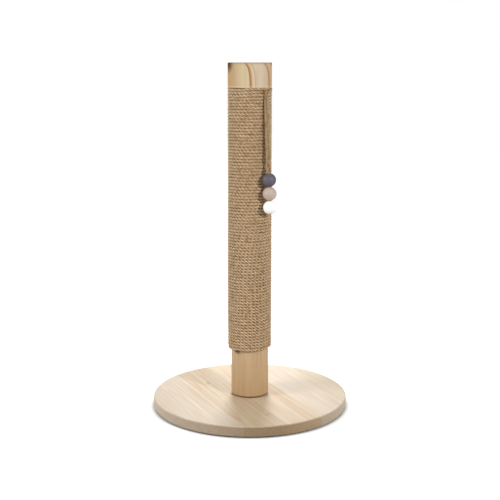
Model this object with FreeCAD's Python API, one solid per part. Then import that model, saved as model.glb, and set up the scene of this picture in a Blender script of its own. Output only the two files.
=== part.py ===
"""Cat scratching post: a round glued board, a rope-wound pole with a wooden cap, and a hanging bead toy.

Millimetres, +Z up. The origin is on the floor, under the middle of the base. The front is -Y. A
bearing is an angle in degrees about the pole, 0 at the front and growing towards +X.
"""
import FreeCAD
import Part
import math
import os

from FreeCAD import Vector

# Base board, edge-glued from solid staves
base_diameter = 400.0
base_thickness = 20.5
base_edge_chamfer = 1.5
stave_count = 5
stave_shift = 26.0              # middle of the stave pattern, measured across the staves from the pole
stave_bearing = 25.0            # where the front ends of the staves point

# Felt pads under the board
pad_diameter = 25.0
pad_thickness = 2.5
pad_edge_inset = 22.5           # free board between a pad and the rim
pad_count = 6

# Pole core, bare at its foot and wound with rope above
core_diameter = 76.5
core_length = 632.5
core_foot_chamfer = 3.0
core_top_chamfer = 1.0
bare_length = 98.5

# Sisal rope, one layer
rope_diameter = 6.2
rope_pitch = 6.12
rope_gap = 0.15                 # between the rope layer and the core

# Cap
cap_inset = 0.6                 # from the rope's outside in to the cap's side
cap_height = 49.0
cap_top_round = 1.6
cap_bottom_round = 0.8
cap_dowel_diameter = 30.0
cap_dowel_depth = 21.5          # how far the dowel stands in the core, and in the cap
cap_dowel_chamfer = 1.5

# Bolt, washer and threaded insert that hold the pole to the base
bolt_diameter = 8.0
bolt_length = 45.0
bolt_head_diameter = 13.0
bolt_head_height = 8.0
bolt_head_chamfer = 0.8
bolt_tip_chamfer = 1.0
bolt_tip_play = 4.0             # free hole above the bolt's tip
bolt_socket_width = 6.0         # across the flats
bolt_socket_depth = 4.0
bolt_hole_play = 0.5            # radial, in the board and above the insert
bolt_head_sink = 1.0            # the head lies this far inside the board
washer_diameter = 24.0
washer_thickness = 2.0
washer_play = 0.2
counterbore_play = 1.0
insert_diameter = 12.0
insert_length = 25.0
insert_flange_diameter = 17.0
insert_flange_thickness = 1.6
insert_chamfer = 0.8

# Two dowels that keep the pole from turning on the base
dowel_diameter = 8.0
dowel_length = 30.0
dowel_chamfer = 1.0
dowel_spacing = 44.0            # between the two, along the staves
dowel_board_depth = 12.0
hole_end_play = 0.5
wood_fit = 0.1                  # radial clearance of glued, driven and threaded fits

# Staples that hold the rope's two ends
staple_wire = 1.2
staple_crown = 7.0              # between the middles of the legs
staple_leg = 10.0
staple_bend = 1.2
staple_sink = 0.3               # crown's middle below the rope's surface
staple_fit = 0.06
staple_top_bearing = 25.0
staple_bottom_bearing = -34.0

# Toy: a doubled string hitched behind the top turn, three beads and a knot
string_diameter = 4.5
string_gap = 0.1                # between the two legs, side by side
string_clearance = 0.4          # between the string and the rope
hitch_fit = 0.1
hitch_inset = 0.2               # hidden string to the inside of the rope layer
arc_share = 0.45                # of the shorter run that a bend in the string takes up
left_exit_bearing = 40.0
right_exit_bearing = 66.5
toy_bearing = 40.8
apex_drop = 12.5                # from the left exit down to where the legs meet
elbow_clearance = 0.3           # corner of a hanging strand to the strand it hangs from
knuckle_radius = 4.2            # rounded top ends of the legs
knuckle_gap = 0.15
knuckle_reach = 18.0            # half length of the cut that makes room for the knuckles
bead_diameter = 27.6
bead_pitch = 27.3               # middle to middle, where the mouths of the holes just clear each other
bead_rest = 0.3                 # bead to rope
bead_hole_play = 0.25
bead_hole_chamfer = 0.4
bead_drop = 161.6               # first bead's middle below the apex, along the string
knot_diameter = 12.4
knot_length = 7.4
knot_chamfer = 1.4
knot_depth = 4.8                # knot's top face below the last bead's middle
knot_play = 0.3

# Heights and radii that follow
base_bottom = pad_thickness
base_top = base_bottom + base_thickness
core_top = base_top + core_length
cap_top = core_top + cap_height
core_radius = core_diameter / 2
wrap_inner_radius = core_radius + rope_gap
wrap_radius = wrap_inner_radius + rope_diameter
wrap_bottom = base_top + bare_length
wrap_top = core_top
cap_radius = wrap_radius - cap_inset
counterbore_radius = washer_diameter / 2 + counterbore_play
counterbore_top = base_bottom + bolt_head_sink + bolt_head_height + washer_thickness
bolt_seat = counterbore_top - washer_thickness
bolt_tip = bolt_seat + bolt_length

UP = Vector(0, 0, 1)


def outward(bearing):
    """Unit vector away from the pole at a bearing."""
    angle = math.radians(bearing)
    return Vector(math.sin(angle), -math.cos(angle), 0)


def around(bearing):
    """Unit vector along the rope at a bearing, towards growing bearings."""
    angle = math.radians(bearing)
    return Vector(math.cos(angle), math.sin(angle), 0)


def on_pole(radius, bearing, height):
    """Point at a radius, bearing and height."""
    return outward(bearing) * radius + UP * height


def disc(radius, bottom, top, centre=Vector(0, 0, 0)):
    """Upright cylinder between two heights."""
    return Part.makeCylinder(radius, top - bottom, Vector(centre.x, centre.y, bottom))


def rod(start, end, radius):
    """Cylinder from point to point."""
    return Part.makeCylinder(radius, start.distanceToPoint(end), start, end - start)


def turned(profile):
    """Solid turned about Z from a closed list of (radius, height) corners."""
    points = [Vector(radius, 0, height) for radius, height in profile]
    return Part.Face(Part.makePolygon(points + points[:1])).revolve(Vector(0, 0, 0), UP, 360)


def level_edges(solid, height):
    """The solid's edges that lie at a height."""
    return [edge for edge in solid.Edges
            if abs(edge.BoundBox.ZMin - height) < 1e-6 and abs(edge.BoundBox.ZMax - height) < 1e-6]


def pin(radius, bottom, top, chamfer, centre=Vector(0, 0, 0)):
    """Upright round pin with both ends chamfered."""
    body = disc(radius, bottom, top, centre)
    return body.makeChamfer(chamfer, level_edges(body, bottom) + level_edges(body, top))


def tube(points, radius):
    """Round tube along straight runs joined by tangent arcs, each as large as its two runs allow."""
    pieces = []
    start = points[0]
    for before, corner, after in zip(points, points[1:], points[2:]):
        shorter_run = min(corner.distanceToPoint(before), corner.distanceToPoint(after))
        arriving = (corner - before).normalize()
        leaving = (after - corner).normalize()
        turn = arriving.getAngle(leaving)
        trim = arc_share * shorter_run
        bend = trim / math.tan(turn / 2)
        into_arc = corner - arriving * trim
        turn_axis = arriving.cross(leaving).normalize()
        centre = into_arc + turn_axis.cross(arriving) * bend
        ring = Part.Face(Part.Wire(Part.makeCircle(radius, into_arc, arriving)))
        pieces.append(rod(start, into_arc, radius))
        pieces.append(ring.revolve(centre, turn_axis, math.degrees(turn)))
        print(f"arc radius {bend:.1f} at ({corner.x:.1f}, {corner.y:.1f}, {corner.z:.1f})")
        start = corner + leaving * trim
    pieces.append(rod(start, points[-1], radius))
    return pieces[0].fuse(pieces[1:]).removeSplitter()


# Base ---------------------------------------------------------------------------------------------

def dowel_middles(direction):
    """Middles of the two locating dowels, in a row through the pole's axis."""
    return [direction * (dowel_spacing / 2), direction * (-dowel_spacing / 2)]


def base_board():
    """The whole board with its staves along X, eased and drilled, before it is parted."""
    board = disc(base_diameter / 2, base_bottom, base_top)
    board = board.makeChamfer(base_edge_chamfer, level_edges(board, base_bottom) + level_edges(board, base_top))
    board = board.cut(disc(counterbore_radius, base_bottom, counterbore_top))
    board = board.cut(disc(bolt_diameter / 2 + bolt_hole_play, counterbore_top, base_top))
    for middle in dowel_middles(Vector(1, 0, 0)):
        hole_bottom = base_top - dowel_board_depth - hole_end_play
        board = board.cut(disc(dowel_diameter / 2 + wood_fit, hole_bottom, base_top, middle))
    return board


def base_staves():
    """The staves from left to right: the board parted along its straight glued joints."""
    width = base_diameter / stave_count
    joints = [stave_shift + (number - stave_count / 2) * width for number in range(1, stave_count)]
    sides = [-base_diameter] + joints + [base_diameter]
    board = base_board()
    staves = []
    for low, high in zip(sides, sides[1:]):
        slab = Part.makeBox(2 * base_diameter, high - low, base_thickness, Vector(-base_diameter, low, base_bottom))
        stave = board.common(slab)
        stave.rotate(Vector(0, 0, 0), UP, stave_bearing - 90)
        staves.append(stave)
    return staves


def foot_pads():
    """Felt pads, evenly spaced near the rim."""
    ring_radius = base_diameter / 2 - pad_edge_inset - pad_diameter / 2
    pads = []
    for number in range(pad_count):
        middle = outward(90 + 360 * number / pad_count) * ring_radius
        pads.append(disc(pad_diameter / 2, 0, pad_thickness, middle))
    return pads


# Fixing ---------------------------------------------------------------------------------------------

def base_bolt():
    """Socket head bolt, head down, with a chamfered tip."""
    head = disc(bolt_head_diameter / 2, bolt_seat - bolt_head_height, bolt_seat)
    head = head.makeChamfer(bolt_head_chamfer, level_edges(head, bolt_seat - bolt_head_height))
    shank = disc(bolt_diameter / 2, bolt_seat, bolt_tip)
    shank = shank.makeChamfer(bolt_tip_chamfer, level_edges(shank, bolt_tip))
    corner_radius = bolt_socket_width / math.sqrt(3)
    corners = [Vector(corner_radius * math.cos(math.radians(60 * side)),
                      corner_radius * math.sin(math.radians(60 * side)),
                      bolt_seat - bolt_head_height) for side in range(6)]
    hexagon = Part.Face(Part.makePolygon(corners + corners[:1]))
    return head.fuse(shank).cut(hexagon.extrude(UP * bolt_socket_depth)).removeSplitter()


def base_washer():
    """Flat washer between the bolt's head and the board."""
    ring = disc(washer_diameter / 2, bolt_seat, counterbore_top)
    return ring.cut(disc(bolt_diameter / 2 + washer_play, bolt_seat, counterbore_top))


def core_insert():
    """Threaded steel insert with a flange, flush with the core's foot."""
    bore = bolt_diameter / 2 + wood_fit
    body = insert_diameter / 2
    flange = insert_flange_diameter / 2
    flange_top = base_top + insert_flange_thickness
    insert_top = base_top + insert_length
    return turned([(bore, base_top), (flange, base_top), (flange, flange_top), (body, flange_top),
                   (body, insert_top - insert_chamfer), (body - insert_chamfer, insert_top), (bore, insert_top)])


def locating_dowels():
    """Beech dowels, partly in the board and partly in the core."""
    bottom = base_top - dowel_board_depth
    return [pin(dowel_diameter / 2, bottom, bottom + dowel_length, dowel_chamfer, middle)
            for middle in dowel_middles(outward(stave_bearing))]


# Pole -----------------------------------------------------------------------------------------------

def core_pole():
    """Turned core with the holes for insert, bolt tip, dowels and staples."""
    core = disc(core_radius, base_top, core_top)
    core = core.makeChamfer(core_foot_chamfer, level_edges(core, base_top))
    core = core.makeChamfer(core_top_chamfer, level_edges(core, core_top))
    flange_radius = insert_flange_diameter / 2 + wood_fit
    core = core.cut(disc(flange_radius, base_top, base_top + insert_flange_thickness))
    core = core.cut(disc(insert_diameter / 2 + wood_fit, base_top, base_top + insert_length))
    tip_hole_top = max(bolt_tip, base_top + insert_length) + bolt_tip_play
    core = core.cut(disc(bolt_diameter / 2 + bolt_hole_play, base_top, tip_hole_top))
    for middle in dowel_middles(outward(stave_bearing)):
        hole_top = base_top + dowel_length - dowel_board_depth + hole_end_play
        core = core.cut(disc(dowel_diameter / 2 + wood_fit, base_top, hole_top, middle))
    core = core.cut(disc(cap_dowel_diameter / 2 + wood_fit, core_top - cap_dowel_depth - hole_end_play, core_top))
    for hole in staple_holes():
        core = core.cut(hole)
    return core


def rope_wrap():
    """The rope layer: a sleeve as thick as the rope, with rounded end turns."""
    end_radius = rope_diameter / 2
    middle_radius = wrap_inner_radius + end_radius
    low = wrap_bottom + end_radius
    high = wrap_top - end_radius
    corners = [Vector(wrap_radius, 0, low), Vector(wrap_radius, 0, high),
               Vector(wrap_inner_radius, 0, high), Vector(wrap_inner_radius, 0, low)]
    outline = Part.Wire([Part.LineSegment(corners[0], corners[1]).toShape(),
                         Part.Arc(corners[1], Vector(middle_radius, 0, wrap_top), corners[2]).toShape(),
                         Part.LineSegment(corners[2], corners[3]).toShape(),
                         Part.Arc(corners[3], Vector(middle_radius, 0, wrap_bottom), corners[0]).toShape()])
    sleeve = Part.Face(outline).revolve(Vector(0, 0, 0), UP, 360)
    for hole in staple_holes() + [hitch_tube(string_radius + hitch_fit)]:
        sleeve = sleeve.cut(hole)
    return sleeve


def staple(height, bearing, fit):
    """Staple of flat wire, driven towards the pole's axis with its crown along the rope.

    Grown by a fit all round it is the hole that the staple makes.
    """
    half_wire = staple_wire / 2 + fit
    half_crown = staple_crown / 2
    outside = Part.makeBox(2 * (half_crown + half_wire), staple_leg + half_wire, 2 * half_wire,
                           Vector(-half_crown - half_wire, 0, -half_wire))
    bends = [edge for edge in outside.Edges if edge.BoundBox.YMax < 1e-6 and edge.BoundBox.ZLength > half_wire]
    outside = outside.makeFillet(staple_bend, bends)
    inside = Part.makeBox(2 * (half_crown - half_wire), staple_leg, 2 * half_wire,
                          Vector(-half_crown + half_wire, 2 * half_wire, -half_wire))
    shape = outside.cut(inside)
    shape.translate(Vector(0, -half_wire, 0))
    shape.rotate(Vector(0, 0, 0), UP, bearing)
    shape.translate(on_pole(wrap_radius - staple_sink, bearing, height))
    return shape


def staple_pair(fit):
    """The staples in the top and the bottom turn of the rope."""
    return [staple(wrap_top - rope_diameter / 2, staple_top_bearing, fit),
            staple(wrap_bottom + rope_diameter / 2, staple_bottom_bearing, fit)]


def staple_holes():
    """What the staples cut out of rope and core."""
    return staple_pair(staple_fit)


def top_cap():
    """Solid wooden cap, nearly as wide as the rope layer, with a blind hole for its dowel."""
    cap = disc(cap_radius, core_top, cap_top)
    cap = cap.makeFillet(cap_top_round, level_edges(cap, cap_top))
    cap = cap.makeFillet(cap_bottom_round, level_edges(cap, core_top))
    return cap.cut(disc(cap_dowel_diameter / 2 + wood_fit, core_top, core_top + cap_dowel_depth + hole_end_play))


def cap_dowel():
    """Thick dowel that joins cap and core."""
    return pin(cap_dowel_diameter / 2, core_top - cap_dowel_depth, core_top + cap_dowel_depth, cap_dowel_chamfer)


# Toy ------------------------------------------------------------------------------------------------

string_radius = string_diameter / 2
exit_radius = wrap_radius + string_clearance + string_radius
leg_offset = (string_diameter + string_gap) / 2
left_exit = on_pole(exit_radius, left_exit_bearing, wrap_top - rope_pitch)
right_exit = on_pole(exit_radius, right_exit_bearing, wrap_top - rope_diameter / 2)
apex_radius = exit_radius + leg_offset
apex = on_pole(apex_radius, toy_bearing, left_exit.z - apex_drop)
first_bead_radius = wrap_radius + bead_rest + bead_diameter / 2
lean = math.asin((first_bead_radius - apex_radius) / bead_drop)
string_down = outward(toy_bearing) * math.sin(lean) - UP * math.cos(lean)
sway_axis = outward(toy_bearing) * math.cos(lean) + UP * math.sin(lean)
inner_apex = apex - sway_axis * leg_offset
outer_apex = apex + sway_axis * leg_offset
last_bead_drop = bead_drop + 2 * bead_pitch


def along_string(distance):
    """Point on the middle line between the two legs, below the apex."""
    return apex + string_down * distance


def hitch_tube(radius):
    """Hidden bight of the string: in at the left exit, behind the top turn, out at the right."""
    hidden_radius = wrap_inner_radius + hitch_inset + string_radius
    middle_bearing = (left_exit_bearing + right_exit_bearing) / 2
    middle_height = (left_exit.z + right_exit.z) / 2
    hidden_middle = on_pole(hidden_radius, middle_bearing, middle_height)
    points = [left_exit, on_pole(hidden_radius, left_exit_bearing, left_exit.z), hidden_middle,
              on_pole(hidden_radius, right_exit_bearing, right_exit.z), right_exit]
    return tube(points, radius)


def toy_hitch():
    """The bight with its round ends, which the hanging strands turn about."""
    hitch = hitch_tube(string_radius)
    for end in (left_exit, right_exit):
        hitch = hitch.fuse(Part.makeSphere(string_radius, end))
    return hitch.removeSplitter()


def knuckle(radius):
    """Cylinder about the sway axis, through both legs."""
    return Part.makeCylinder(radius, 2 * knuckle_reach, apex - sway_axis * knuckle_reach, sway_axis)


def hanging_strand(exit_point, leg_apex):
    """Strand from an exit to the apex, cut clear of the hitch and of the leg that swings below."""
    elbow_radius = math.hypot(string_radius, string_radius) + elbow_clearance
    strand = rod(exit_point, leg_apex, string_radius)
    strand = strand.cut(Part.makeSphere(elbow_radius, exit_point))
    return strand.cut(knuckle(knuckle_radius + knuckle_gap))


def toy_leg(leg_apex):
    """Straight leg of the string, from its rounded top down to the knot."""
    top = rod(leg_apex, leg_apex - string_down * (2 * knuckle_radius), string_radius).common(knuckle(knuckle_radius))
    leg = rod(leg_apex, leg_apex + string_down * (last_bead_drop + knot_depth), string_radius)
    return leg.fuse(top).removeSplitter()


def tilted(solid, distance):
    """Move a solid turned about Z, top up, onto the string at a distance below the apex."""
    solid.rotate(Vector(0, 0, 0), around(toy_bearing), math.degrees(-lean))
    solid.translate(along_string(distance))
    return solid


def toy_knot():
    """Knot that carries the beads, pulled up into the last one."""
    top = -knot_depth
    body = disc(knot_diameter / 2, top - knot_length, top)
    body = body.makeChamfer(knot_chamfer, level_edges(body, top) + level_edges(body, top - knot_length))
    return tilted(body, last_bead_drop)


def bead(number, knot_hole):
    """Turned bead with a round hole, eased at its mouths; the last one also takes in the knot."""
    ball = Part.makeSphere(bead_diameter / 2)
    hole_radius = leg_offset + string_radius + bead_hole_play
    half = bead_diameter / 2
    ball = ball.cut(disc(hole_radius, -half, half))
    if knot_hole:
        ball = ball.cut(disc(knot_diameter / 2 + knot_play, -half, knot_play - knot_depth))
    mouths = [edge for edge in ball.Edges if edge.BoundBox.ZLength < 1e-6
              and abs(edge.BoundBox.ZMin) > half - hole_radius]
    ball = ball.makeChamfer(bead_hole_chamfer, mouths)
    return tilted(ball, bead_drop + number * bead_pitch)


# Nodes ----------------------------------------------------------------------------------------------

def numbered(name, shapes):
    """Nodes NAME_1, NAME_2 and so on."""
    return {f"{name}_{number}": shape for number, shape in enumerate(shapes, 1)}


nodes = {
    **numbered("base_stave", base_staves()),
    **numbered("foot_pad", foot_pads()),
    "base_bolt": base_bolt(),
    "base_washer": base_washer(),
    "core_insert": core_insert(),
    **numbered("locating_dowel", locating_dowels()),
    "core_pole": core_pole(),
    "rope_wrap": rope_wrap(),
    **dict(zip(("rope_staple_top", "rope_staple_bottom"), staple_pair(0))),
    "top_cap": top_cap(),
    "cap_dowel": cap_dowel(),
    "toy_hitch": toy_hitch(),
    "toy_strand_left": hanging_strand(left_exit, inner_apex),
    "toy_strand_right": hanging_strand(right_exit, outer_apex),
    "toy_leg_inner": toy_leg(inner_apex),
    "toy_leg_outer": toy_leg(outer_apex),
    "toy_knot": toy_knot(),
    "bead_grey": bead(0, False),
    "bead_pink": bead(1, False),
    "bead_white": bead(2, True),
}

os.makedirs("parts", exist_ok=True)
for name, shape in nodes.items():
    shape.exportStep(f"parts/{name}.step")

for label, point in (("left exit", left_exit), ("right exit", right_exit), ("apex", apex)):
    print(f"{label}: {point.x:.3f} {point.y:.3f} {point.z:.3f}")
for label, line in (("swing axis", (right_exit - left_exit).normalize()), ("sway axis", sway_axis),
                    ("string down", string_down)):
    print(f"{label}: {line.x:.6f} {line.y:.6f} {line.z:.6f}")
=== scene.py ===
"""Cat scratching post: a round glued base, a rope-wound pole with a wooden cap, and a hanging bead toy.

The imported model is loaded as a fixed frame, its wood, steel and beads are given their finishes, and
its soft pieces (rope, string, knot and felt) are replaced by pieces modelled here. Lengths are in
metres, +Z is up, and the front is -Y. A bearing is an angle in degrees about the pole, 0 at the
front and growing towards +X.
"""

from __future__ import annotations

import logging
import math
from collections.abc import Sequence
from dataclasses import dataclass, field
from enum import Enum

import bpy
import numpy as np
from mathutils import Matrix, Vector

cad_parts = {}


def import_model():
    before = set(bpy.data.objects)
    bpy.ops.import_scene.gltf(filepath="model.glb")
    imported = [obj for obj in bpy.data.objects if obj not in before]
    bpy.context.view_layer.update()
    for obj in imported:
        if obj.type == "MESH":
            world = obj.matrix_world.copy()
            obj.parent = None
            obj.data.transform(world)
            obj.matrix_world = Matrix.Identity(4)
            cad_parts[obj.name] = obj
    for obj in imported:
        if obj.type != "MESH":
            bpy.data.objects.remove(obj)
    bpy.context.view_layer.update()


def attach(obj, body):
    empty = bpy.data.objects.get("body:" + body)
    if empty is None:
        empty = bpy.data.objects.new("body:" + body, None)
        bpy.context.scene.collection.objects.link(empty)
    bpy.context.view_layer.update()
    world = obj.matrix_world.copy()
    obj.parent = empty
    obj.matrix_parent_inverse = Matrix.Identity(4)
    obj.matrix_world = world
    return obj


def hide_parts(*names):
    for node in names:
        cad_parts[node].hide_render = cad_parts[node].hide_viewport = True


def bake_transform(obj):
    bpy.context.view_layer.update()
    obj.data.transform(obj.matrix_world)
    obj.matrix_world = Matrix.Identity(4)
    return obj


LOG = logging.getLogger("scratching_post")
Colour = tuple[float, float, float, float]
Point = tuple[float, float, float]
Range = tuple[float, float, float, float]
Socket = bpy.types.NodeSocket

# Fine fibres of a wood per metre, across and along its grain.
FIBRES_ACROSS = 1400.0
FIBRES_ALONG = 40.0
# Sides of a loose fibre.
FIBRE_SIDES = 3


class Slot(Enum):
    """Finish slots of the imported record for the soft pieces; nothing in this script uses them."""

    SISAL = "sisal"
    STRING = "string"
    FELT = "felt"


def paint(shade: str) -> Colour:
    """Turn a colour as it is seen on screen into the linear colour that a shader takes.

    Args:
        shade: Six hexadecimal digits, red first.

    Returns:
        Linear red, green, blue and an alpha of 1.
    """
    parts = [int(shade[place:place + 2], 16) / 255 for place in (0, 2, 4)]
    linear = [part / 12.92 if part <= 0.04045 else ((part + 0.055) / 1.055) ** 2.4 for part in parts]
    return (linear[0], linear[1], linear[2], 1.0)


def outward(bearing: float) -> Vector:
    """Return the unit vector that points away from the pole at a bearing."""
    angle = math.radians(bearing)
    return Vector((math.sin(angle), -math.cos(angle), 0.0))


class Recipe:
    """A node material while it is put together."""

    def __init__(self, name: str) -> None:
        """Start an empty material.

        Args:
            name: The material's name.
        """
        self.material = bpy.data.materials.new(name)
        self.material.use_nodes = True
        self.tree = self.material.node_tree
        self.tree.nodes.clear()

    def add(self, kind: str, inputs: dict[str | int, object] | None = None,
            **settings: object) -> bpy.types.Node:
        """Add a node.

        Args:
            kind: The node's type.
            inputs: Sockets to link, or constants to set, by input name or number.
            settings: Values of the node's own properties.

        Returns:
            The new node.
        """
        node = self.tree.nodes.new(kind)
        for name, value in settings.items():
            setattr(node, name, value)
        for key, value in (inputs or {}).items():
            if isinstance(value, Socket):
                self.tree.links.new(value, node.inputs[key])
            else:
                node.inputs[key].default_value = value
        return node

    def place(self, kind: str = "Object") -> Socket:
        """Return the texture coordinates of one kind."""
        return self.add("ShaderNodeTexCoord").outputs[kind]

    def mapped(self, vector: Socket, shift: Point = (0, 0, 0), turn: Point = (0, 0, 0),
               scale: Point = (1, 1, 1)) -> Socket:
        """Scale, turn and then shift coordinates.

        Args:
            vector: The coordinates.
            shift: Shift in metres, done last.
            turn: Turn about X, Y and Z in degrees.
            scale: Scale along X, Y and Z, done first.

        Returns:
            The new coordinates.
        """
        turned = tuple(math.radians(angle) for angle in turn)
        return self.add("ShaderNodeMapping", {"Vector": vector, "Location": shift, "Rotation": turned,
                                              "Scale": scale}).outputs["Vector"]

    def parts(self, vector: Socket) -> tuple[Socket, ...]:
        """Return a vector's X, Y and Z."""
        return tuple(self.add("ShaderNodeSeparateXYZ", {0: vector}).outputs)

    def length(self, x: Socket | float, y: Socket | float, z: Socket | float = 0.0) -> Socket:
        """Return the length of the vector of three values."""
        joined = self.add("ShaderNodeCombineXYZ", {0: x, 1: y, 2: z}).outputs[0]
        return self.add("ShaderNodeVectorMath", {0: joined}, operation="LENGTH").outputs["Value"]

    def noise(self, vector: Socket, scale: float, detail: float = 3.0, roughness: float = 0.5,
              distortion: float = 0.0) -> Socket:
        """Return a noise pattern from 0 to 1 on some coordinates."""
        node = self.add("ShaderNodeTexNoise", {"Vector": vector, "Scale": scale, "Detail": detail,
                                               "Roughness": roughness, "Distortion": distortion})
        return node.outputs["Fac"]

    def grain(self, vector: Socket, rates: Point, detail: float = 2.0, roughness: float = 0.5) -> Socket:
        """Return noise drawn out by unlike rates per metre along X, Y and Z."""
        return self.noise(self.mapped(vector, scale=rates), 1.0, detail, roughness)

    def maths(self, operation: str, first: Socket | float, second: Socket | float = 0.0,
              third: Socket | float = 0.0, clamp: bool = False) -> Socket:
        """Return the result of a maths node on up to three values."""
        return self.add("ShaderNodeMath", {0: first, 1: second, 2: third}, operation=operation,
                        use_clamp=clamp).outputs[0]

    def spread(self, value: Socket, low: float, high: float, to_low: float, to_high: float) -> Socket:
        """Return a value moved from one range to another, held inside it."""
        return self.add("ShaderNodeMapRange", {"Value": value, "From Min": low, "From Max": high,
                                               "To Min": to_low, "To Max": to_high}).outputs["Result"]

    def ramp(self, value: Socket, stops: Sequence[tuple[float, Colour]]) -> Socket:
        """Colour a value.

        Args:
            value: The value, from 0 to 1.
            stops: Places and colours, lowest first.

        Returns:
            The colour.
        """
        node = self.add("ShaderNodeValToRGB", {"Fac": value})
        elements = node.color_ramp.elements
        while len(elements) < len(stops):
            elements.new(1.0)
        for element, (at, colour) in zip(elements, stops):
            element.position = at
            element.color = colour
        return node.outputs["Color"]

    def rings(self, reach: Socket, width: float, stops: Sequence[tuple[float, float]]) -> Socket:
        """Return growth rings about a tree's heart.

        Args:
            reach: Distance from the heart.
            width: Width of a ring.
            stops: Places in a ring from 0 to 1, and how late the wood is there.

        Returns:
            How late the wood is.
        """
        ring = self.maths("FRACT", self.maths("DIVIDE", reach, width))
        return self.ramp(ring, [(at, (late, late, late, 1.0)) for at, late in stops])

    def mix(self, share: Socket | float, first: Socket | Colour, second: Socket | Colour,
            way: str = "MIX") -> Socket:
        """Return two colours mixed by a share, in one of the mixing ways."""
        return self.add("ShaderNodeMix", {0: share, 6: first, 7: second}, data_type="RGBA",
                        blend_type=way).outputs[2]

    def tint(self, colour: Socket | Colour, shade: str, value: Socket, reach: Range,
             way: str = "MIX") -> Socket:
        """Mix a shade into a colour by a value.

        Args:
            colour: The colour.
            shade: The shade, as paint() takes it.
            value: The value.
            reach: Two values, and the share of the shade at each.
            way: The way of mixing.

        Returns:
            The tinted colour.
        """
        return self.mix(self.spread(value, *reach), colour, paint(shade), way)

    def relief(self, height: Socket, strength: float, depth: float) -> Socket:
        """Turn a height pattern into a bumped normal.

        Args:
            height: The pattern.
            strength: How much of the bump shows.
            depth: Depth in metres of a height of 1.

        Returns:
            The normal.
        """
        inputs: dict[str | int, object] = {"Height": height, "Strength": strength, "Distance": depth}
        return self.add("ShaderNodeBump", inputs).outputs["Normal"]

    def done(self, colour: Socket, roughness: Socket | float, normal: Socket,
             **constants: float) -> bpy.types.Material:
        """Close the recipe with a principled surface.

        Args:
            colour: Base colour.
            roughness: Roughness.
            normal: Bumped normal.
            constants: Other inputs of the surface, with underscores for spaces.

        Returns:
            The finished material.
        """
        inputs: dict[str | int, object] = {"Base Color": colour, "Roughness": roughness, "Normal": normal}
        for name, value in constants.items():
            inputs[name.replace("_", " ")] = value
        surface = self.add("ShaderNodeBsdfPrincipled", inputs)
        self.add("ShaderNodeOutputMaterial", {"Surface": surface.outputs["BSDF"]})
        return self.material

    def smoothed(self, wood: Socket, fibres: Socket, streaks: Socket, dull: tuple[float, float],
                 shine: float = 0.35) -> bpy.types.Material:
        """Close the recipe of a planed or turned wood, with its fibres standing slightly proud.

        Args:
            wood: Base colour.
            fibres: Pattern of the fine fibres.
            streaks: Pattern by which the roughness changes.
            dull: Least and greatest roughness.
            shine: Strength of the mirrored light.

        Returns:
            The finished material.
        """
        rough = self.spread(streaks, 0.3, 0.7, *dull)
        return self.done(wood, rough, self.relief(fibres, 0.25, 0.0002), Specular_IOR_Level=shine)


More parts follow.
